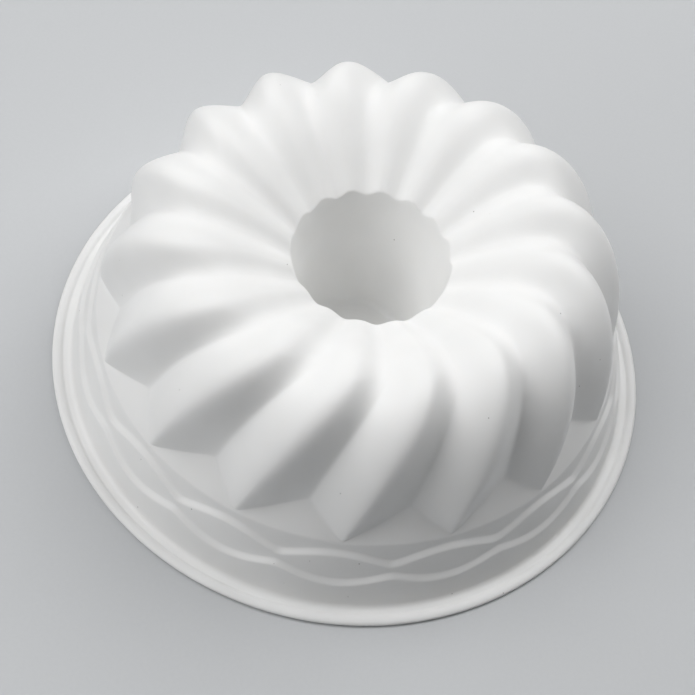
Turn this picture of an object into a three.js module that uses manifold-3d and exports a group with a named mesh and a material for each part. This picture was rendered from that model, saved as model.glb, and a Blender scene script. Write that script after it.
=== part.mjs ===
// Silicone ring cake mould, standing upside down on its rim: swirled flutes round a closed centre tube,
// a skirt that steps outwards at two wavy ledges, and a flat lip whose oval bead holds a steel wire hoop.
// Millimetres and degrees, +Z up. The origin is on the axis, in the plane that the rim stands on.
import * as THREE from "three";
import { mergeVertices } from "three/addons/utils/BufferGeometryUtils.js";
import Module from "manifold-3d";

// Rim
const RIM_RADIUS = 125; // outside of the bead
const HOOP_WIRE_RADIUS = 0.5;
const HOOP_CLEARANCE = 0.3; // all round the wire, in its channel
const BEAD_SKIN = 0.5; // rubber over and under the channel
const BEAD_WIDTH = 4.0;
const LIP_STEP = 1.2; // the bead stands this much above the flat lip
const LIP_WIDTH = 7.7; // flat lip and bead together
const PIN_HOLES = 8; // under the bead, where pins held the hoop while the rubber was shot round it
const PIN_HOLE_RADIUS = 0.6;

// Skirt and shoulder
const SKIRT_FLARE = 11.0; // the skirt's foot is this much wider than the shoulder, at each side
const SHOULDER_HEIGHT = 33.1;
const SHOULDER_DEPTH = 9.2; // from the shoulder's edge in to the feet of the valleys
const SHOULDER_RISE = 12.3; // from the shoulder's edge up to the feet of the valleys
const TIP_SETBACK = 0.8; // a flute's tip stops this short of the shoulder's edge

// Ledges: two waves round the skirt that bound a chain of lenses, one under each flute
const LEDGE_STEP = 1.7; // the skirt's face steps out by this much at each ledge
const LEDGE_WIDTH = 3.4; // down the skirt
const LEDGE_MARGIN = 3.0; // from the shoulder's edge down to the upper ledge, at the middle of a lens
const LEDGE_GAP = 1.9; // between the two ledges, where two lenses meet
const UPPER_LEDGE_SWING = 5.5; // from where two lenses meet up to the middle of a lens
const LOWER_LEDGE_SWING = 4.5; // and down to it
const LENS_LEAD = 0.75; // a lens lies this much clockwise of its flute's tip

// Flutes
const FLUTES = 16;
const OVERALL_HEIGHT = 90.4; // top of the ridges
const FLUTE_DEPTH = 5.0; // at the crown, from the ridges down to the valleys
const RIDGE_CROWN_RADIUS = 71.2;
const VALLEY_CROWN_RADIUS = 66.0;
const RIDGE_DRAFT = 3.7; // lean of a ridge at its foot, from upright
const VALLEY_DRAFT = 15.8;
const RIDGE_SWIRL = 18.3; // clockwise from above, from the hole down to the foot
const VALLEY_SWIRL = 15.7;
const SWIRL_SOFTNESS = 0.3; // how gently the swirl starts, as a share of the way from crown to foot
const CROWN_ROUNDING = 1.75; // of a flute's section: 1 is a sharp roof, 2 is round, below 1 is hollow
const SHORT_FLANK_ROUNDING = 1.05; // at the foot, on the clockwise side of a tip
const LONG_FLANK_ROUNDING = 0.9; // at the foot, on the other side
const LONG_FLANK_HOLLOW = 2.5; // at the hole: 1 runs straight into the valley, more rounds the valley out

// Centre tube
const HOLE_RADIUS = 31.5;
const HOLE_DROP = 20.7; // from the top of the ridges down to their ends at the hole
const HOLE_SCALLOP = 2.4; // the valleys end this much lower than the ridges
const HOLE_SLOPE = 38.5; // slope of the crown where it reaches the hole
const TUBE_END_RADIUS = 23.5;
const TUBE_FLOOR_HEIGHT = 3.8; // inside of the closed end

const WALL = 2.2;

// Handles of the crown's curves, as shares of the span that each one crosses
const HOLE_HANDLE = 0.32;
const CROWN_HANDLE = 0.43;
const RIDGE_FOOT_HANDLE = 0.74;
const VALLEY_FOOT_HANDLE = 0.86;

// Facets
const COLUMNS_PER_FLUTE = 6;
const HOLE_STEPS = 4;
const FOOT_STEPS = 8;
const BEAD_STEPS = 8;
const HOOP_SIDES = 8;
const HOOP_STEPS = 96;
const PIN_SIDES = 12;

const PITCH = 360 / FLUTES;
const COLUMNS = FLUTES * COLUMNS_PER_FLUTE;
const CHANNEL_RADIUS = HOOP_WIRE_RADIUS + HOOP_CLEARANCE;
const BEAD_HEIGHT = CHANNEL_RADIUS + BEAD_SKIN; // half of it, from the middle
const BEAD_CENTRE = new THREE.Vector2(RIM_RADIUS - BEAD_WIDTH / 2, BEAD_HEIGHT);
const LIP_HEIGHT = 2 * BEAD_HEIGHT - LIP_STEP;
const SKIRT_FOOT = new THREE.Vector2(RIM_RADIUS - LIP_WIDTH, LIP_HEIGHT);
const SHOULDER = new THREE.Vector2(SKIRT_FOOT.x - SKIRT_FLARE, SHOULDER_HEIGHT);

const { degToRad, radToDeg, lerp } = THREE.MathUtils;
const point = (r, z) => new THREE.Vector2(r, z);
const direction = (degrees) => point(Math.cos(degToRad(degrees)), Math.sin(degToRad(degrees)));

// One profile of the crown, from the hole's edge over the top to the foot of the flutes.
function crownProfile(edge, crown, foot, draft, footHandle) {
  const rise = crown.clone().sub(edge);
  const fall = foot.clone().sub(crown);
  const towardsHole = new THREE.CubicBezierCurve(
    edge,
    edge.clone().addScaledVector(direction(HOLE_SLOPE), HOLE_HANDLE * rise.length()),
    point(crown.x - HOLE_HANDLE * rise.x, crown.y),
    crown,
  );
  const towardsFoot = new THREE.CubicBezierCurve(
    crown,
    point(crown.x + CROWN_HANDLE * fall.x, crown.y),
    foot.clone().addScaledVector(direction(90 + draft), -footHandle * fall.y),
    foot,
  );
  return [...towardsHole.getPoints(HOLE_STEPS), ...towardsFoot.getPoints(FOOT_STEPS).slice(1)];
}

const tubeFoot = point(TUBE_END_RADIUS, TUBE_FLOOR_HEIGHT);
const ridgeEdge = point(HOLE_RADIUS, OVERALL_HEIGHT - HOLE_DROP);
const valleyEdge = ridgeEdge.clone().lerp(tubeFoot, HOLE_SCALLOP / (ridgeEdge.y - tubeFoot.y));
const ridgeCrown = point(RIDGE_CROWN_RADIUS, OVERALL_HEIGHT);
const valleyCrown = point(VALLEY_CROWN_RADIUS, OVERALL_HEIGHT - FLUTE_DEPTH);
const valleyFoot = point(SHOULDER.x - SHOULDER_DEPTH, SHOULDER.y + SHOULDER_RISE);
const tipShare = TIP_SETBACK / Math.hypot(SHOULDER_DEPTH, SHOULDER_RISE);
const tip = SHOULDER.clone().lerp(valleyFoot, tipShare);
const ridgeProfile = crownProfile(ridgeEdge, ridgeCrown, tip, RIDGE_DRAFT, RIDGE_FOOT_HANDLE);
const valleyProfile = crownProfile(valleyEdge, valleyCrown, valleyFoot, VALLEY_DRAFT, VALLEY_FOOT_HANDLE);

// Share of the swirl at each point of the crown's profile: it starts softly round the crown's top.
const swirlRamp = (step) => step + Math.hypot(step, SWIRL_SOFTNESS * FOOT_STEPS);
const crownSwirl = ridgeProfile.map((_, i) => {
  const atHole = swirlRamp(-HOLE_STEPS);
  return (swirlRamp(i - HOLE_STEPS) - atHole) / (swirlRamp(FOOT_STEPS) - atHole);
});

// A section's points moved by a distance to their right, with mitred corners.
function offsetSection(section, distance) {
  const rightOf = (a, b) => point(b.y - a.y, a.x - b.x).normalize();
  return section.map((here, i) => {
    const into = rightOf(section[Math.max(i, 1) - 1], section[Math.max(i, 1)]);
    const last = section.length - 1;
    const out = rightOf(section[Math.min(i, last - 1)], section[Math.min(i, last - 1) + 1]);
    const mitre = distance / (1 + into.dot(out));
    return here.clone().addScaledVector(into.add(out), mitre);
  });
}

// The bead's oval, from the standing plane out and up to the end of the flat lip.
function rimProfile() {
  const oval = point(BEAD_WIDTH / 2, BEAD_HEIGHT);
  const lipEnd = 180 - radToDeg(Math.asin((LIP_HEIGHT - BEAD_HEIGHT) / BEAD_HEIGHT));
  return Array.from({ length: BEAD_STEPS + 1 }, (_, i) => {
    const angle = lerp(-90, lipEnd, i / BEAD_STEPS);
    return direction(angle).multiply(oval).add(BEAD_CENTRE);
  });
}

// Directions down the skirt's faces and square out of them: the ledges take up the rest of its flare.
const skirtRun = SKIRT_FOOT.clone().sub(SHOULDER);
const steepening = Math.asin((2 * LEDGE_STEP) / skirtRun.length());
const downSkirt = direction(radToDeg(skirtRun.angle() - steepening));
const outOfSkirt = point(-downSkirt.y, downSkirt.x);

// A point at a distance down the skirt from the shoulder's edge, proud of the topmost face.
function onSkirt(distance, proud) {
  return SHOULDER.clone().addScaledVector(downSkirt, distance).addScaledVector(outOfSkirt, proud);
}

// The two ledges' corners from the top down, at an angle from the middle of a lens.
function ledgeCorners(fromLens) {
  const bow = Math.cos(degToRad((180 * fromLens) / PITCH));
  const upper = LEDGE_MARGIN + UPPER_LEDGE_SWING * (1 - bow);
  const meeting = LEDGE_MARGIN + UPPER_LEDGE_SWING + LEDGE_WIDTH;
  const lower = meeting + LEDGE_GAP + LOWER_LEDGE_SWING * bow;
  return [
    onSkirt(upper, 0),
    onSkirt(upper + LEDGE_WIDTH, LEDGE_STEP),
    onSkirt(lower, LEDGE_STEP),
    onSkirt(lower + LEDGE_WIDTH, 2 * LEDGE_STEP),
  ];
}

// Share of the way from a flute's ridge to the valley beside it.
const fromRidge = (fromLens) => Math.abs(fromLens) / (PITCH / 2);

// Angle from a flute's tip to a point on its crown, which lags behind until all the swirl is done. The
// valleys swirl less than the ridges, so that one flank grows longer.
function flutedAngle(fromLens, swirl) {
  const valleyLag = (RIDGE_SWIRL - VALLEY_SWIRL) * swirl;
  return RIDGE_SWIRL * (1 - swirl) + fromLens + valleyLag * fromRidge(fromLens);
}

// The body's section, from the axis along the cavity to the rim and back over the outside to the axis,
// at an angle from the middle of a lens: the shorter flank of the flute is on the negative side, and each
// flank runs from its ridge at 0 to its valley. A point has its share of swirl, or none on the skirt.
function bodySection(fromLens) {
  const onLongFlank = fromLens > 0;
  const footRounding = onLongFlank ? LONG_FLANK_ROUNDING : SHORT_FLANK_ROUNDING;
  const holeHollow = onLongFlank ? LONG_FLANK_HOLLOW : 1;
  const crown = valleyProfile.map((valley, i) => {
    const rounding = lerp(CROWN_ROUNDING, footRounding, crownSwirl[i]);
    const hollow = lerp(1, holeHollow, (1 - crownSwirl[i]) ** 2);
    return valley.clone().lerp(ridgeProfile[i], (1 - fromRidge(fromLens) ** rounding) ** hollow);
  });
  const tubeEnd = [point(0, TUBE_FLOOR_HEIGHT), tubeFoot];
  const skirt = [SHOULDER, ...ledgeCorners(fromLens), SKIRT_FOOT];
  const outer = [...tubeEnd, ...crown, ...skirt];
  const swirl = [0, 0, ...crownSwirl, ...skirt.map(() => null)];
  const inner = offsetSection(outer, WALL);
  const [ledge, skirtFoot] = inner.slice(-2);
  const atFloor = ledge.y / (ledge.y - skirtFoot.y);
  inner[inner.length - 1] = ledge.clone().lerp(skirtFoot, atFloor);
  const rim = rimProfile();
  return {
    points: [...inner, ...rim, ...outer.reverse()],
    swirl: [...swirl, ...rim.map(() => null), ...swirl.toReversed()],
  };
}

// A turned body whose columns of points are then raised and swung into flutes and ledges. A flute's tip
// lies at its own multiple of the pitch, the first on the +X axis.
function flutedBody() {
  const geometry = new THREE.LatheGeometry(bodySection(0).points, COLUMNS);
  for (let column = 0; column <= COLUMNS; column++) {
    const flute = Math.floor(column / COLUMNS_PER_FLUTE);
    const fromLens = ((column % COLUMNS_PER_FLUTE) / COLUMNS_PER_FLUTE - 0.5) * PITCH;
    const { points, swirl } = bodySection(fromLens);
    points.forEach((p, i) => {
      const onSkirt = swirl[i] === null;
      const fromTip = onSkirt ? fromLens - LENS_LEAD : flutedAngle(fromLens, swirl[i]);
      const around = direction(flute * PITCH + fromTip).multiplyScalar(p.x);
      geometry.attributes.position.setXYZ(column * points.length + i, around.x, around.y, p.y);
    });
  }
  return geometry;
}

const wasm = await Module();
wasm.setup();

// A closed geometry as a solid, with its shared points merged and the empty faces at its poles dropped.
function solidOf(geometry) {
  geometry.deleteAttribute("normal");
  geometry.deleteAttribute("uv");
  const merged = mergeVertices(geometry);
  const faces = [];
  for (let i = 0; i < merged.index.count; i += 3) {
    const face = [0, 1, 2].map((k) => merged.index.getX(i + k));
    if (new Set(face).size === 3) faces.push(...face);
  }
  const vertProperties = merged.attributes.position.array;
  return new wasm.Manifold(new wasm.Mesh({ numProp: 3, vertProperties, triVerts: new Uint32Array(faces) }));
}

function geometryOf(solid) {
  const mesh = solid.getMesh();
  const geometry = new THREE.BufferGeometry();
  geometry.setAttribute("position", new THREE.BufferAttribute(mesh.vertProperties, 3));
  geometry.setIndex(new THREE.BufferAttribute(mesh.triVerts, 1));
  geometry.computeVertexNormals();
  return geometry;
}

// A ring of round section that runs along the middle of the bead.
function beadRing(radius) {
  const ring = new THREE.TorusGeometry(BEAD_CENTRE.x, radius, HOOP_SIDES, HOOP_STEPS);
  return ring.translate(0, 0, BEAD_CENTRE.y);
}

// An upright hole from under the bead into the hoop's channel.
function pinHole(angle) {
  const length = 2 * BEAD_CENTRE.y;
  const around = direction(angle).multiplyScalar(BEAD_CENTRE.x);
  return new THREE.CylinderGeometry(PIN_HOLE_RADIUS, PIN_HOLE_RADIUS, length, PIN_SIDES)
    .rotateX(Math.PI / 2)
    .translate(around.x, around.y, 0);
}

function mouldBody() {
  let solid = solidOf(flutedBody()).subtract(solidOf(beadRing(CHANNEL_RADIUS)));
  for (let i = 0; i < PIN_HOLES; i++) {
    solid = solid.subtract(solidOf(pinHole(((i + 0.5) * 360) / PIN_HOLES)));
  }
  const silicone = new THREE.MeshStandardMaterial({ color: 0xf3f2ef, roughness: 0.55, metalness: 0 });
  return named("mould_body", geometryOf(solid), silicone);
}

function rimHoop() {
  const steel = new THREE.MeshStandardMaterial({ color: 0xb4b8bc, roughness: 0.35, metalness: 1 });
  return named("rim_hoop", beadRing(HOOP_WIRE_RADIUS), steel);
}

function named(name, geometry, material) {
  const mesh = new THREE.Mesh(geometry, material);
  mesh.name = name;
  return mesh;
}

const mould = new THREE.Group();
mould.name = "ring_cake_mould";
mould.add(mouldBody(), rimHoop());

export default mould;
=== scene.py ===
import math
from dataclasses import dataclass

import bmesh
import bpy
from mathutils import Matrix, Vector
from mathutils.geometry import interpolate_bezier


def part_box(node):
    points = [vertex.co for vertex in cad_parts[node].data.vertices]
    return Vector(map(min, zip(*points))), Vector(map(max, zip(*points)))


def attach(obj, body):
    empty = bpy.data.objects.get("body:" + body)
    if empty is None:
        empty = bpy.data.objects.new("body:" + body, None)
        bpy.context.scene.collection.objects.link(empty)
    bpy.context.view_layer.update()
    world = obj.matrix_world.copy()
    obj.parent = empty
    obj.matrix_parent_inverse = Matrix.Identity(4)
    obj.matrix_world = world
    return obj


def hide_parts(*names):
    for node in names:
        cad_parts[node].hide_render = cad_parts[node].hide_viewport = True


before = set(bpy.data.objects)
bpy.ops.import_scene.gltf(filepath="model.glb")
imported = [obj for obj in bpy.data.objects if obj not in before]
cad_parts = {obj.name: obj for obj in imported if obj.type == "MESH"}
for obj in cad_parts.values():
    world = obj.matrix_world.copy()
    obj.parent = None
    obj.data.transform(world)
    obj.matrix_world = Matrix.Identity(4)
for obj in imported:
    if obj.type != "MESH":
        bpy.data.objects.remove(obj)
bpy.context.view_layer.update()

# White silicone ring cake mould, standing upside down on its rim. Sizes are in millimetres and degrees.
MM = 0.001
BODY_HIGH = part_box("mould_body")[1]
HOOP_LOW, HOOP_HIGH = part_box("rim_hoop")

# Rim
RIM_RADIUS = BODY_HIGH.x / MM
HOOP_WIRE_RADIUS = (HOOP_HIGH.z - HOOP_LOW.z) / 2 / MM
HOOP_CLEARANCE = 0.3
BEAD_SKIN = 0.5  # silicone above and below the hoop's channel
BEAD_WIDTH = 4.0
BEAD_FOOT_ANGLE = 150  # where the bead's oval leaves off towards the lip
BEAD_FOOT_ROUND = 1.3
LIP_STEP = 1.2  # from the bead's top down to the lip
LIP_WIDTH = 7.7  # from the skirt's foot to the rim's outer edge
LIP_CORNER = 2.2
PIN_HOLES = 8
PIN_HOLE_RADIUS = 0.6
CUT_EDGE_ANGLE = 60  # edges that turn more than this are shaded sharp after a cut

# Skirt and shoulder
SKIRT_FLARE = 11.0  # how much further out the skirt's foot is than the shoulder's edge
SHOULDER_HEIGHT = 33.1
SHOULDER_DEPTH = 9.2  # from the shoulder's edge in to the foot of a valley
SHOULDER_RISE = 12.3  # and up to it
SHOULDER_ROUND = 4.0
TIP_SETBACK = 0.8  # from the shoulder's edge to the tip of a ridge

# Wavy ledges, where the skirt steps outwards: distances run down the skirt from the shoulder's edge
LEDGE_STEP = 1.7
LEDGE_WIDTH = 3.4
LEDGE_MARGIN = 3.0  # plain skirt above the upper ledge, where that is highest
LEDGE_GAP = 1.9  # between the two ledges at their cusps
UPPER_LEDGE_SWING = 5.5
LOWER_LEDGE_SWING = 4.5
CUSP_ROUNDING = 0.17  # 0 is a sharp cusp
LENS_LEAD = 0.75  # the lenses between the ledges lie this much clockwise of the flutes' tips

# Flutes
FLUTES = 16
OVERALL_HEIGHT = BODY_HIGH.z / MM
FLUTE_DEPTH = 5.0
RIDGE_CROWN_RADIUS = 71.2
VALLEY_CROWN_RADIUS = 66.0
RIDGE_DRAFT = 3.7
VALLEY_DRAFT = 15.8
RIDGE_SWIRL = 18.3
VALLEY_SWIRL = 15.7
SWIRL_SOFTNESS = 0.3  # share of the way from the crown's top to the foot over which the swirl sets in
CROWN_ROUNDING = 1.75  # of a flank at the hole: 1 is straight, more is fuller towards the ridge
SHORT_FLANK_ROUNDING = 1.05  # and of the two flanks at the foot
LONG_FLANK_ROUNDING = 0.9
LONG_FLANK_HOLLOW = 2.5  # at the hole: 1 runs straight into the valley, more rounds the valley out
SHORT_FLANK_HOLLOW = 1.7
HOLLOW_FADE = 2  # power with which that hollow goes out on the way to the foot
RIDGE_SOFTNESS = 0.12  # share of a flank that the round of its ridge takes up
TIP_SOFTNESS = 0.03  # and at the ridge's tip
TIP_REACH = 6  # power of the swirl's share that brings a ridge to its sharp tip
VALLEY_SOFTNESS = 0.05  # share of a flute's depth that the round of its valley takes up
FOOT_ROUND_ROWS = 3  # rows of the crown that the round at a flute's foot takes up
FOOT_ROUND_SHARE = 0.25  # and its share of the shoulder
LONG_FOOT_SOFTNESS = 0.12  # of that round on the longer flank: 0 is a sharp crease, 1 a full round
SHORT_FOOT_SOFTNESS = 0.45  # and half-way up the shorter flank
FOOT_BUNCHING = 1.6  # 1 spreads the rows of that round evenly, more draws them to the crease

# Centre tube
HOLE_RADIUS = 31.5
HOLE_DROP = 20.7  # from the crown down to the hole's edge at a ridge
HOLE_SCALLOP = 2.4  # and from there down to the edge at a valley
HOLE_SLOPE = 38.5
HOLE_EDGE_ROUND = 1.8
TUBE_END_RADIUS = 23.5
TUBE_FLOOR_HEIGHT = 3.8
TUBE_CORNER = 3.0

WALL = 2.2

# Handles of the crown's curves, as shares of what each curve spans
HOLE_HANDLE = 0.32
CROWN_HANDLE = 0.43
RIDGE_FOOT_HANDLE = 0.74
VALLEY_FOOT_HANDLE = 0.86

# Mesh steps
COLUMNS_PER_FLUTE = 22
COLUMN_BUNCHING = 0.6  # 0 spreads a flute's columns evenly, 1 draws them to its ridge and valleys
TUBE_FLOOR_STEPS = 4
TUBE_WALL_STEPS = 5
HOLE_STEPS = 20
FOOT_STEPS = 40
CORNER_STEPS = 5
FOOT_ROUND_STEPS = 8
SHOULDER_STEPS = 5
INNER_SHOULDER_STEPS = 3
SKIRT_TOP_STEPS = 3
LEDGE_STEPS = 10
SKIRT_FOOT_STEPS = 4
BEAD_STEPS = 20
CHANNEL_SIDES = 12
CHANNEL_STEPS_PER_FLUTE = 8
PIN_HOLE_SIDES = 24
MERGE_DISTANCE = 0.002

# Floor, room and lamps
FLOOR_SIZE = 6000
FADE_START = 300  # between these the camera sees the floor run into the even tone of the room
FADE_END = 1100
ROOM_TONE = "#bcbec0"
ROOM_LIGHT = 0.015  # the room's strength as a light, where the camera sees it at 1
SOFTBOX_DISTANCE = 1400
SOFTBOX_SIZE = 1000

# Camera, with its image in pixels
IMAGE_SIZE = 695
FOCAL_PIXELS = 1400
PRINCIPAL_X = 350.3
PRINCIPAL_Y = 348.9
SENSOR = 36.0
CAMERA_AZIMUTH = -97.1
CAMERA_ELEVATION = 56.5
CAMERA_ROLL = 12.78
CAMERA_DISTANCE = 599.1
AIM_HEIGHT = 1.3

# Sockets of a Mix node that mixes colours
FIRST_COLOUR = 6
SECOND_COLOUR = 7
MIXED_COLOUR = 2

# Worked out: the two ledges step outwards, so the skirt's wall is steeper than the line down to its foot
PITCH = 360 / FLUTES
COLUMNS = FLUTES * COLUMNS_PER_FLUTE
CHANNEL_RADIUS = HOOP_WIRE_RADIUS + HOOP_CLEARANCE
BEAD_HALF_HEIGHT = CHANNEL_RADIUS + BEAD_SKIN
BEAD_CENTRE = Vector((RIM_RADIUS - BEAD_WIDTH / 2, BEAD_HALF_HEIGHT))
LIP_HEIGHT = 2 * BEAD_HALF_HEIGHT - LIP_STEP
SKIRT_FOOT = Vector((RIM_RADIUS - LIP_WIDTH, LIP_HEIGHT))
SHOULDER = Vector((SKIRT_FOOT.x - SKIRT_FLARE, SHOULDER_HEIGHT))
SKIRT_SPAN = (SKIRT_FOOT - SHOULDER).length
SKIRT_LENGTH = math.sqrt(SKIRT_SPAN**2 - (2 * LEDGE_STEP) ** 2)
LAST_SKIRT_ROW = SKIRT_LENGTH - 2 * LIP_CORNER
STEEPENING = Matrix.Rotation(-math.atan2(2 * LEDGE_STEP, SKIRT_LENGTH), 2)
DOWN_SKIRT = STEEPENING @ (SKIRT_FOOT - SHOULDER).normalized()
OUT_OF_SKIRT = Vector((-DOWN_SKIRT.y, DOWN_SKIRT.x))
UPPER_LEDGE_CUSP = LEDGE_MARGIN + LEDGE_WIDTH / 2 + UPPER_LEDGE_SWING
LOWER_LEDGE_CUSP = UPPER_LEDGE_CUSP + LEDGE_WIDTH + LEDGE_GAP


def lerp(a, b, share):
    return a + (b - a) * share


def direction(degrees):
    return Vector((math.cos(math.radians(degrees)), math.sin(math.radians(degrees))))


def outward(azimuth, elevation):
    """The way out from the origin at these two angles."""
    around, above = direction(azimuth), direction(elevation)
    return Vector((around.x * above.x, around.y * above.x, above.y))


def softened(value, softness):
    """A value from 0 to 1 whose start is rounded off."""
    reach = math.hypot(1, softness) - softness
    return (math.hypot(value, softness) - softness) / reach


def eased(share):
    """A share that starts and ends gently."""
    return share * share * (3 - 2 * share)


def steps(count):
    """Even shares from 0 to 1."""
    return [i / count for i in range(count + 1)]


# The moulding's section


@dataclass
class Station:
    """One point of the section, as radius and height, and how it moves as the section goes round."""

    valley: Vector  # where it lies in a valley
    ridge: Vector  # and on a ridge
    swirl: float = 0.0  # its share of the flutes' swirl
    evened: float = 0.0  # 0 where columns follow the flutes, 1 where they follow the lenses
    upper_share: float = 0.0  # how far it moves with the upper ledge
    lower_share: float = 0.0  # and with the lower one


@dataclass
class RoundedCrease:
    """One point of a round between a station above a crease, the crease itself and one below it."""

    above: Station
    crease: Station
    below: Station
    share: float


def plain(points, swirl=0.0):
    """Stations that run level round the mould, inside the flutes or, with a swirl of 1, outside them."""
    return [Station(p, p, swirl, swirl) for p in points]


def fillet(before, corner, after, radius):
    """A round of the given radius in place of a corner."""
    into, out = (corner - before).normalized(), (after - corner).normalized()
    turn = into.angle_signed(out)
    reach = radius * math.tan(abs(turn) / 2)
    start = corner - into * reach
    side = Vector((into.y, -into.x)) * math.copysign(radius, turn)
    centre = start + side
    spokes = [Matrix.Rotation(-turn * share, 2) @ -side for share in steps(CORNER_STEPS)]
    return [centre + spoke for spoke in spokes]


def crown_curves(edge, crown, foot, draft, foot_handle):
    """The crown's profile from the hole's edge to its top, and from there to the foot of the flutes."""
    rise, fall = crown - edge, foot - crown
    towards_hole = interpolate_bezier(
        edge,
        edge + direction(HOLE_SLOPE) * HOLE_HANDLE * rise.length,
        Vector((crown.x - HOLE_HANDLE * rise.x, crown.y)),
        crown,
        HOLE_STEPS + 1,
    )
    towards_foot = interpolate_bezier(
        crown,
        Vector((crown.x + CROWN_HANDLE * fall.x, crown.y)),
        foot - direction(90 + draft) * foot_handle * fall.y,
        foot,
        FOOT_STEPS + 1,
    )
    return towards_hole + towards_foot[1:]


RIDGE_EDGE = Vector((HOLE_RADIUS, OVERALL_HEIGHT - HOLE_DROP))
TUBE_FOOT = Vector((TUBE_END_RADIUS, TUBE_FLOOR_HEIGHT))
VALLEY_EDGE = RIDGE_EDGE.lerp(TUBE_FOOT, HOLE_SCALLOP / (RIDGE_EDGE.y - TUBE_FOOT.y))
RIDGE_CROWN = Vector((RIDGE_CROWN_RADIUS, OVERALL_HEIGHT))
VALLEY_CROWN = Vector((VALLEY_CROWN_RADIUS, OVERALL_HEIGHT - FLUTE_DEPTH))
VALLEY_FOOT = SHOULDER + Vector((-SHOULDER_DEPTH, SHOULDER_RISE))
TIP = SHOULDER + (VALLEY_FOOT - SHOULDER).normalized() * TIP_SETBACK
RIDGE_CURVE = crown_curves(RIDGE_EDGE, RIDGE_CROWN, TIP, RIDGE_DRAFT, RIDGE_FOOT_HANDLE)
VALLEY_CURVE = crown_curves(VALLEY_EDGE, VALLEY_CROWN, VALLEY_FOOT, VALLEY_DRAFT, VALLEY_FOOT_HANDLE)


def swirl_ramp(step):
    """Rises softly round the crown's top, where the step is 0, and then evenly to the foot."""
    return step + math.hypot(step, SWIRL_SOFTNESS * FOOT_STEPS)


AT_HOLE, AT_FOOT = swirl_ramp(-HOLE_STEPS), swirl_ramp(FOOT_STEPS)
CROWN_SWIRL = [
    (swirl_ramp(i - HOLE_STEPS) - AT_HOLE) / (AT_FOOT - AT_HOLE) for i in range(len(RIDGE_CURVE))
]


def tube_stations():
    """From the axis over the closed end, up the tube and round the hole's edge."""
    corner = fillet(Vector((0, TUBE_FOOT.y)), TUBE_FOOT, RIDGE_EDGE, TUBE_CORNER)
    floor = [Vector((corner[0].x * share, TUBE_FOOT.y)) for share in steps(TUBE_FLOOR_STEPS)[:-1]]
    made = plain(floor + corner)
    valley_round = fillet(TUBE_FOOT, VALLEY_EDGE, VALLEY_CURVE[1], HOLE_EDGE_ROUND)
    ridge_round = fillet(TUBE_FOOT, RIDGE_EDGE, RIDGE_CURVE[1], HOLE_EDGE_ROUND)
    wall = corner[-1]
    for share in steps(TUBE_WALL_STEPS)[1:-1]:
        made.append(Station(wall.lerp(valley_round[0], share), wall.lerp(ridge_round[0], share)))
    made += [Station(v, r) for v, r in zip(valley_round, ridge_round)]
    return made


CROWN_STATIONS = [Station(v, r, s) for v, r, s in zip(VALLEY_CURVE, RIDGE_CURVE, CROWN_SWIRL)]
SHOULDER_EDGE = fillet(VALLEY_FOOT, SHOULDER, SHOULDER + DOWN_SKIRT, SHOULDER_ROUND)


def shoulder_station(share):
    """A share of the way down the shoulder's cone, where the columns spread evenly for the ledges."""
    edge = SHOULDER_EDGE[0]
    return Station(lerp(VALLEY_FOOT, edge, share), lerp(TIP, edge, share), 1.0, share)


def shoulder_stations():
    """Round the crease at the flutes' feet, down the shoulder and over its edge."""
    above, foot = CROWN_STATIONS[-FOOT_ROUND_ROWS - 1], CROWN_STATIONS[-1]
    below = shoulder_station(FOOT_ROUND_SHARE)
    crease = [RoundedCrease(above, foot, below, share) for share in steps(FOOT_ROUND_STEPS)[1:]]
    cone = [shoulder_station(lerp(FOOT_ROUND_SHARE, 1, share)) for share in steps(SHOULDER_STEPS)[1:-1]]
    return crease + cone + plain(SHOULDER_EDGE, 1.0)


def skirt_row(distance, upper_share, lower_share, relief):
    """A row that keeps its distance to the shoulder's edge, to the upper ledge or to the lower one."""
    base = SHOULDER + DOWN_SKIRT * distance + OUT_OF_SKIRT * relief
    return Station(base, base, 1.0, 1.0, upper_share, lower_share)


def skirt_stations(depth=0.0):
    """Down the skirt with its two ledges, at a depth under its outer face."""
    half = LEDGE_WIDTH / 2
    start = (SHOULDER_EDGE[-1] - SHOULDER).length
    ledge = [(lerp(-half, half, share), LEDGE_STEP * eased(share)) for share in steps(LEDGE_STEPS)]
    top = steps(SKIRT_TOP_STEPS)[1:-1]
    made = [skirt_row(lerp(start, -half, share), share, 0, -depth) for share in top]
    made += [skirt_row(distance, 1, 0, relief - depth) for distance, relief in ledge]
    made.append(skirt_row(0, 0.5, 0.5, LEDGE_STEP - depth))
    made += [skirt_row(distance, 0, 1, LEDGE_STEP + relief - depth) for distance, relief in ledge]
    proud = 2 * LEDGE_STEP - depth
    for share in steps(SKIRT_FOOT_STEPS)[1:]:
        made.append(skirt_row(lerp(half, LAST_SKIRT_ROW, share), 0, 1 - share, proud))
    return made


def rim_stations():
    """The soft corner at the skirt's foot, the flat lip, the soft groove beside the bead, and the bead."""
    oval = Vector((BEAD_WIDTH / 2, BEAD_HALF_HEIGHT))
    bead = [BEAD_CENTRE + oval * direction(lerp(BEAD_FOOT_ANGLE, -90, share)) for share in steps(BEAD_STEPS)]
    slope = bead[1] - bead[0]
    groove = bead[0] - slope * (bead[0].y - LIP_HEIGHT) / slope.y
    corner = fillet(SKIRT_FOOT - DOWN_SKIRT, SKIRT_FOOT, groove, LIP_CORNER)
    return plain(corner + fillet(SKIRT_FOOT, groove, bead[0], BEAD_FOOT_ROUND) + bead, 1.0)


def offset(points, distance):
    """The points moved to their right, with mitred corners."""
    sides = [Vector((b.y - a.y, a.x - b.x)).normalized() for a, b in zip(points, points[1:])]
    sides = sides[:1] + sides + sides[-1:]
    return [p + (a + b) * distance / (1 + a.dot(b)) for p, a, b in zip(points, sides, sides[1:])]


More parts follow.
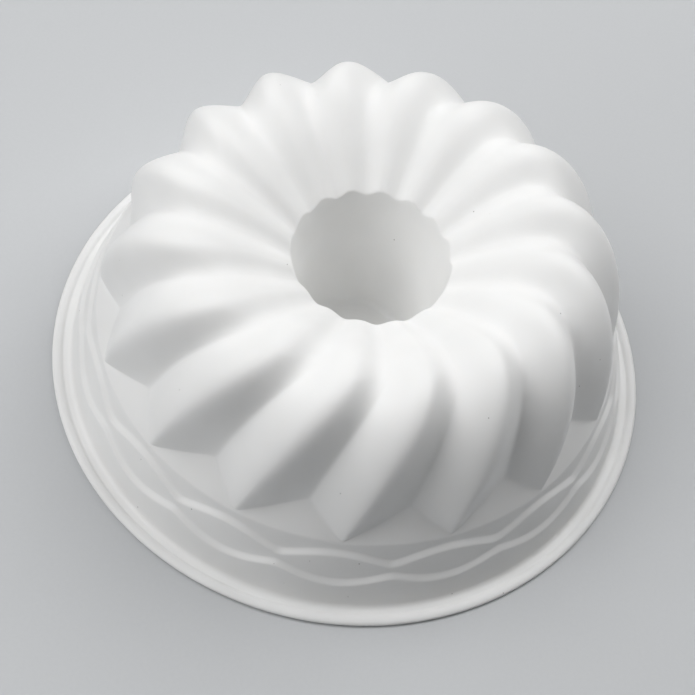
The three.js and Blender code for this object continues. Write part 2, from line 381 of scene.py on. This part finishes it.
def cavity_stations():
    """The inside of the wall, from the rim's underside back to the axis, in half as many crown rows."""
    tube_end = [Vector((0, TUBE_FLOOR_HEIGHT)), TUBE_FOOT]
    valley = offset(tube_end + VALLEY_CURVE[::2] + [SHOULDER, SKIRT_FOOT], WALL)
    ridge = offset(tube_end + RIDGE_CURVE[::2] + [SHOULDER, SKIRT_FOOT], WALL)
    swirl = [0.0, 0.0] + CROWN_SWIRL[::2]
    crown = [Station(v, r, s) for v, r, s in zip(valley, ridge, swirl)]
    shoulder = [
        Station(lerp(valley[-3], valley[-2], share), lerp(ridge[-3], ridge[-2], share), 1.0, share)
        for share in steps(INNER_SHOULDER_STEPS)[1:]
    ]
    skirt = skirt_stations(WALL)
    inner_foot = SKIRT_FOOT - OUT_OF_SKIRT * WALL
    on_rim_plane = inner_foot + DOWN_SKIRT * (inner_foot.y / -DOWN_SKIRT.y)
    return list(reversed(crown + shoulder + skirt + plain([on_rim_plane], 1.0)))


# Turning the section into the fluted moulding


def flank_height(side, across, swirl):
    """Height of a flute's section between its valley (0) and its ridge (1)."""
    foot_rounding = LONG_FLANK_ROUNDING if side > 0 else SHORT_FLANK_ROUNDING
    hole_hollow = LONG_FLANK_HOLLOW if side > 0 else SHORT_FLANK_HOLLOW
    rounding = lerp(CROWN_ROUNDING, foot_rounding, swirl)
    hollow = lerp(1, hole_hollow, (1 - swirl) ** HOLLOW_FADE)
    ridge_softness = lerp(RIDGE_SOFTNESS, TIP_SOFTNESS, swirl**TIP_REACH)
    rise = 1 - softened(1 - across, ridge_softness) ** rounding
    return softened(rise, VALLEY_SOFTNESS) ** hollow


def ledge_distances(from_lens):
    """Where the upper and the lower ledge run, at an angle from the middle of a lens."""
    bow = math.cos(math.radians(from_lens * 180 / PITCH))
    bow = softened(abs(bow), CUSP_ROUNDING)
    return UPPER_LEDGE_CUSP - UPPER_LEDGE_SWING * bow, LOWER_LEDGE_CUSP + LOWER_LEDGE_SWING * bow


def on_flute(column):
    """A column's flute, its side of the ridge (1 is the longer flank) and its share from valley to ridge."""
    flute, step = divmod(column, COLUMNS_PER_FLUTE)
    half = COLUMNS_PER_FLUTE / 2
    even = 1 - abs(step / half - 1)
    return flute, 1 if step > half else -1, lerp(even, eased(even), COLUMN_BUNCHING)


def place_on_crease(spot, column):
    """A point of the round at a flute's foot, which is softer on the shorter flank."""
    above, crease, below = (place(s, column) for s in (spot.above, spot.crease, spot.below))
    way = 2 * spot.share - 1
    end = above if way < 0 else below
    sharp = crease.lerp(end, abs(way) ** FOOT_BUNCHING)
    full = above.lerp(crease, spot.share).lerp(crease.lerp(below, spot.share), spot.share)
    _, side, across = on_flute(column)
    on_short_flank = math.sin(math.pi * across) if side < 0 else 0
    return sharp.lerp(full, lerp(LONG_FOOT_SOFTNESS, SHORT_FOOT_SOFTNESS, on_short_flank))


def place(station, column):
    """A station's point in one of the turned columns."""
    if isinstance(station, RoundedCrease):
        return place_on_crease(station, column)
    flute, side, across = on_flute(column)
    spot = station.valley.lerp(station.ridge, flank_height(side, across, station.swirl))
    from_lens = side * (1 - across) * PITCH / 2
    upper, lower = ledge_distances(from_lens)
    spot = spot + DOWN_SKIRT * (station.upper_share * upper + station.lower_share * lower)
    from_tip = RIDGE_SWIRL * (1 - station.swirl)
    valley_lag = side * PITCH / 2 + (RIDGE_SWIRL - VALLEY_SWIRL) * station.swirl
    fluted = from_tip + valley_lag * (1 - across)
    angle = flute * PITCH + lerp(fluted, from_lens - LENS_LEAD, station.evened)
    around = direction(angle) * spot.x * MM
    return Vector((around.x, around.y, spot.y * MM))


def put_in_scene(name, data):
    made = bpy.data.objects.new(name, data)
    bpy.context.scene.collection.objects.link(made)
    return made


def new_object(name, bm):
    mesh = bpy.data.meshes.new(name)
    bm.to_mesh(mesh)
    bm.free()
    mesh.shade_smooth()
    return put_in_scene(name, mesh)


def spin_round(bm, count):
    """Spins a section once round the mould's axis."""
    bmesh.ops.spin(
        bm,
        geom=bm.verts[:] + bm.edges[:],
        axis=(0, 0, 1),
        cent=(0, 0, 0),
        angle=math.tau,
        steps=count,
        use_merge=True,
    )


def close_up(bm):
    """Merges the points that lie together, and turns the faces outwards."""
    bmesh.ops.remove_doubles(bm, verts=bm.verts[:], dist=MERGE_DISTANCE * MM)
    bmesh.ops.recalc_face_normals(bm, faces=bm.faces[:])


def fluted_moulding():
    """The section spun round the axis, and its columns raised and swung into flutes and ledges."""
    stations = tube_stations() + CROWN_STATIONS[1:-FOOT_ROUND_ROWS] + shoulder_stations()
    stations += skirt_stations() + rim_stations() + cavity_stations()
    bm = bmesh.new()
    number = bm.verts.layers.int.new("station")
    chain = []
    for i, station in enumerate(stations):
        vert = bm.verts.new(place(station, 0))
        vert[number] = i
        chain.append(vert)
    for a, b in zip(chain, chain[1:]):
        bm.edges.new((a, b))
    spin_round(bm, COLUMNS)
    start = [math.atan2(vert.co.y, vert.co.x) for vert in chain]
    for vert in bm.verts:
        i = vert[number]
        turn = math.atan2(vert.co.y, vert.co.x) - start[i]
        vert.co = place(stations[i], round(turn / math.tau * COLUMNS) % COLUMNS)
    close_up(bm)
    return new_object("silicone_moulding", bm)


def hoop_channel():
    """The wire's channel in the bead, as a ring to cut away."""
    bm = bmesh.new()
    upright = Matrix.Rotation(math.pi / 2, 4, "X")
    in_bead = Matrix.Translation((BEAD_CENTRE.x * MM, 0, BEAD_CENTRE.y * MM)) @ upright
    bmesh.ops.create_circle(bm, segments=CHANNEL_SIDES, radius=CHANNEL_RADIUS * MM, matrix=in_bead)
    spin_round(bm, FLUTES * CHANNEL_STEPS_PER_FLUTE)
    close_up(bm)
    return new_object("channel_cutter", bm)


def pin_holes():
    """Upright pins under the bead, to cut away."""
    bm = bmesh.new()
    for i in range(PIN_HOLES):
        around = direction((i + 0.5) * 360 / PIN_HOLES) * BEAD_CENTRE.x * MM
        bmesh.ops.create_cone(
            bm,
            cap_ends=True,
            segments=PIN_HOLE_SIDES,
            radius1=PIN_HOLE_RADIUS * MM,
            radius2=PIN_HOLE_RADIUS * MM,
            depth=2 * BEAD_CENTRE.y * MM,
            matrix=Matrix.Translation((around.x, around.y, 0)),
        )
    return new_object("pin_cutter", bm)


def cut_away(piece, cutter):
    """Takes the cutter's shape out of a piece, and the cutter out of the scene."""
    cut = piece.modifiers.new("cut", "BOOLEAN")
    cut.operation = "DIFFERENCE"
    cut.solver = "EXACT"
    cut.object = cutter
    evaluated = piece.evaluated_get(bpy.context.evaluated_depsgraph_get())
    mesh = bpy.data.meshes.new_from_object(evaluated)
    mesh.set_sharp_from_angle(angle=math.radians(CUT_EDGE_ANGLE))
    piece.modifiers.clear()
    piece.data = mesh
    bpy.data.objects.remove(cutter)


# Materials


def linear(hex_colour):
    """An sRGB hex colour as linear red, green, blue and alpha."""
    parts = [int(hex_colour[i : i + 2], 16) / 255 for i in (1, 3, 5)]
    return [c / 12.92 if c <= 0.04045 else ((c + 0.055) / 1.055) ** 2.4 for c in parts] + [1.0]


def add(tree, kind, inputs=None, **settings):
    """Adds a node with its settings, links the inputs that are given an output, sets the others."""
    node = tree.nodes.new(kind)
    for name, value in settings.items():
        setattr(node, name, value)
    for name, value in (inputs or {}).items():
        if isinstance(value, bpy.types.NodeSocket):
            tree.links.new(value, node.inputs[name])
        else:
            node.inputs[name].default_value = value
    return node.outputs


def new_material(name):
    material = bpy.data.materials.new(name)
    material.use_nodes = True
    material.node_tree.nodes.clear()
    return material, material.node_tree


def platinum_silicone():
    """White platinum-cured silicone, moulded in a blasted steel tool.

    The eye gets a white with slow, faint clouds, the fine dull grain that the blasted tool leaves, a sheen
    that comes and goes with handling, a soft glow through thin edges, and some specks of clinging dust.
    """
    material, tree = new_material("platinum_silicone")
    spot = add(tree, "ShaderNodeTexCoord")["Object"]

    cloud_size = 35
    clouds = add(tree, "ShaderNodeTexNoise", {"Vector": spot, "Scale": 1 / (cloud_size * MM)})[0]
    clouds = add(tree, "ShaderNodeMapRange", {"Value": clouds, "From Min": 0.35, "From Max": 0.65})[0]
    whites = {FIRST_COLOUR: linear("#f5f5f4"), SECOND_COLOUR: linear("#f0f0ef")}
    white = add(tree, "ShaderNodeMix", {0: clouds} | whites, data_type="RGBA")[MIXED_COLOUR]

    # Dust 0.4 to 0.6 mm across: each cell holds one speck, and few of them lie in the surface
    dust_cell = 11
    speck_core = 0.2 / dust_cell
    speck_edge = 0.3 / dust_cell
    dust = add(tree, "ShaderNodeTexVoronoi", {"Vector": spot, "Scale": 1 / (dust_cell * MM)})["Distance"]
    fading = {"From Min": speck_core, "From Max": speck_edge, "To Min": 1, "To Max": 0}
    speck = add(tree, "ShaderNodeMapRange", {"Value": dust} | fading)[0]
    dusty = {FIRST_COLOUR: white, SECOND_COLOUR: linear("#9a9894")}
    colour = add(tree, "ShaderNodeMix", {0: speck} | dusty, data_type="RGBA")[MIXED_COLOUR]

    # The tool's grain is finer than 0.1 mm, and drawn coarser so that it shows as a dull skin
    grit_size = 0.9
    grit_depth = 0.02
    blasted = {"Vector": spot, "Scale": 1 / (grit_size * MM), "Detail": 4.0}
    grit = add(tree, "ShaderNodeTexNoise", blasted)[0]
    grain = add(tree, "ShaderNodeBump", {"Height": grit, "Distance": grit_depth * MM})[0]

    patch_size = 12
    handling = add(tree, "ShaderNodeTexNoise", {"Vector": spot, "Scale": 1 / (patch_size * MM)})[0]
    dulling = {"From Min": 0.3, "From Max": 0.7, "To Min": 0.47, "To Max": 0.58}
    sheen = add(tree, "ShaderNodeMapRange", {"Value": handling} | dulling)[0]

    glow_depth = 2.5
    rubber = {
        "Base Color": colour,
        "Roughness": sheen,
        "IOR": 1.41,
        "Subsurface Weight": 0.2,
        "Subsurface Radius": (1.0, 0.95, 0.88),
        "Subsurface Scale": glow_depth * MM,
        "Normal": grain,
    }
    shader = add(tree, "ShaderNodeBsdfPrincipled", rubber)
    add(tree, "ShaderNodeOutputMaterial", {"Surface": shader[0]})
    return material


def drawn_stainless_wire():
    """Stainless wire from a drawing die: bright grey, with fine lines that run along the wire."""
    material, tree = new_material("drawn_stainless_wire")
    spot = add(tree, "ShaderNodeTexCoord")["Object"]

    # Die lines as rings round the mould's axis
    line_spacing = 0.1
    line_depth = 0.004
    wave_length = 314  # of a wave texture whose scale is 1
    rings = {"Vector": spot, "Scale": wave_length / line_spacing, "Distortion": 3.0, "Detail": 3.0}
    lines = add(tree, "ShaderNodeTexWave", rings, wave_type="RINGS", rings_direction="Z")[1]
    greys = {FIRST_COLOUR: linear("#aeb1b5"), SECOND_COLOUR: linear("#c3c6ca")}
    colour = add(tree, "ShaderNodeMix", {0: lines} | greys, data_type="RGBA")[MIXED_COLOUR]
    sheen = add(tree, "ShaderNodeMapRange", {"Value": lines, "To Min": 0.26, "To Max": 0.4})[0]
    grooves = add(tree, "ShaderNodeBump", {"Height": lines, "Distance": line_depth * MM})[0]

    steel = {"Base Color": colour, "Metallic": 1.0, "Roughness": sheen, "Normal": grooves}
    shader = add(tree, "ShaderNodeBsdfPrincipled", steel)
    add(tree, "ShaderNodeOutputMaterial", {"Surface": shader[0]})
    return material


def studio_paper():
    """Pale background paper: an even, dull grey with a trace of its fibres."""
    material, tree = new_material("studio_paper")
    spot = add(tree, "ShaderNodeTexCoord")["Object"]

    tuft_size = 1.5
    tuft_height = 0.02
    tufts = {"Vector": spot, "Scale": 1 / (tuft_size * MM), "Detail": 4.0}
    fibres = add(tree, "ShaderNodeTexNoise", tufts)[0]
    greys = {FIRST_COLOUR: linear("#c4c6c8"), SECOND_COLOUR: linear("#c8cacc")}
    colour = add(tree, "ShaderNodeMix", {0: fibres} | greys, data_type="RGBA")[MIXED_COLOUR]
    tooth = add(tree, "ShaderNodeBump", {"Height": fibres, "Distance": tuft_height * MM})[0]
    sheet = {"Base Color": colour, "Roughness": 0.9, "Normal": tooth}
    paper = add(tree, "ShaderNodeBsdfPrincipled", sheet)[0]

    # Far from the mould the camera sees the tone of the room
    distance = add(tree, "ShaderNodeVectorMath", {0: spot}, operation="LENGTH")["Value"]
    fade = {"Value": distance, "From Min": FADE_START * MM, "From Max": FADE_END * MM}
    away = add(tree, "ShaderNodeMapRange", fade)[0]
    seen = add(tree, "ShaderNodeLightPath")["Is Camera Ray"]
    share = add(tree, "ShaderNodeMath", {0: away, 1: seen}, operation="MULTIPLY")[0]
    room = add(tree, "ShaderNodeEmission", {"Color": linear(ROOM_TONE)})[0]
    surface = add(tree, "ShaderNodeMixShader", {0: share, 1: paper, 2: room})[0]
    add(tree, "ShaderNodeOutputMaterial", {"Surface": surface})
    return material


def dress(piece, material):
    piece.data.materials.clear()
    piece.data.materials.append(material)


# Pieces

moulding = fluted_moulding()
cut_away(moulding, hoop_channel())
cut_away(moulding, pin_holes())
dress(moulding, platinum_silicone())
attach(moulding, "root")
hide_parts("mould_body")

dress(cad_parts["rim_hoop"], drawn_stainless_wire())

# Floor, light and camera


def paper_floor():
    bm = bmesh.new()
    bmesh.ops.create_grid(bm, x_segments=1, y_segments=1, size=FLOOR_SIZE / 2 * MM)
    floor = new_object("floor", bm)
    dress(floor, studio_paper())


def photo_camera():
    """The photograph's camera, as fitted to the rim and the flutes."""
    data = bpy.data.cameras.new("photo_camera")
    data.sensor_width = SENSOR
    data.lens = FOCAL_PIXELS / IMAGE_SIZE * SENSOR
    data.shift_x = (IMAGE_SIZE / 2 - PRINCIPAL_X) / IMAGE_SIZE
    data.shift_y = (PRINCIPAL_Y - IMAGE_SIZE / 2) / IMAGE_SIZE
    camera = put_in_scene("photo_camera", data)
    around = direction(CAMERA_AZIMUTH)
    back = outward(CAMERA_AZIMUTH, CAMERA_ELEVATION)
    level = Vector((-around.y, around.x, 0))
    up = back.cross(level)
    roll = math.radians(CAMERA_ROLL)
    right = level * math.cos(roll) + up * math.sin(roll)
    turned = Matrix((right, back.cross(right), back)).transposed().to_4x4()
    place_at = Vector((0, 0, AIM_HEIGHT * MM)) + back * CAMERA_DISTANCE * MM
    camera.matrix_world = Matrix.Translation(place_at) @ turned
    bpy.context.scene.camera = camera


def softbox(name, from_camera, elevation, power):
    """A square lamp that faces the mould, at an angle round from the camera's side."""
    data = bpy.data.lights.new(name, "AREA")
    data.size = SOFTBOX_SIZE * MM
    data.energy = power
    lamp = put_in_scene(name, data)
    out = outward(CAMERA_AZIMUTH + from_camera, elevation)
    lamp.location = out * (SOFTBOX_DISTANCE * MM)
    lamp.rotation_euler = out.to_track_quat("Z", "Y").to_euler()


def pale_room():
    """A room that the camera sees in an even pale tone, and that lights the mould hardly at all."""
    world = bpy.data.worlds.new("pale_room")
    bpy.context.scene.world = world
    world.use_nodes = True
    tree = world.node_tree
    tree.nodes.clear()
    seen = add(tree, "ShaderNodeLightPath")["Is Camera Ray"]
    strength = add(tree, "ShaderNodeMapRange", {"Value": seen, "To Min": ROOM_LIGHT, "To Max": 1.0})[0]
    glow = add(tree, "ShaderNodeBackground", {"Color": linear(ROOM_TONE), "Strength": strength})[0]
    add(tree, "ShaderNodeOutputWorld", {"Surface": glow})


paper_floor()
photo_camera()
softbox("back_right_softbox", from_camera=135, elevation=55, power=11.6)
softbox("back_softbox", from_camera=180, elevation=34, power=2.2)
softbox("left_softbox", from_camera=270, elevation=55, power=10.1)
softbox("front_left_softbox", from_camera=315, elevation=34, power=4.5)
pale_room()
bpy.context.scene.view_settings.view_transform = "Standard"
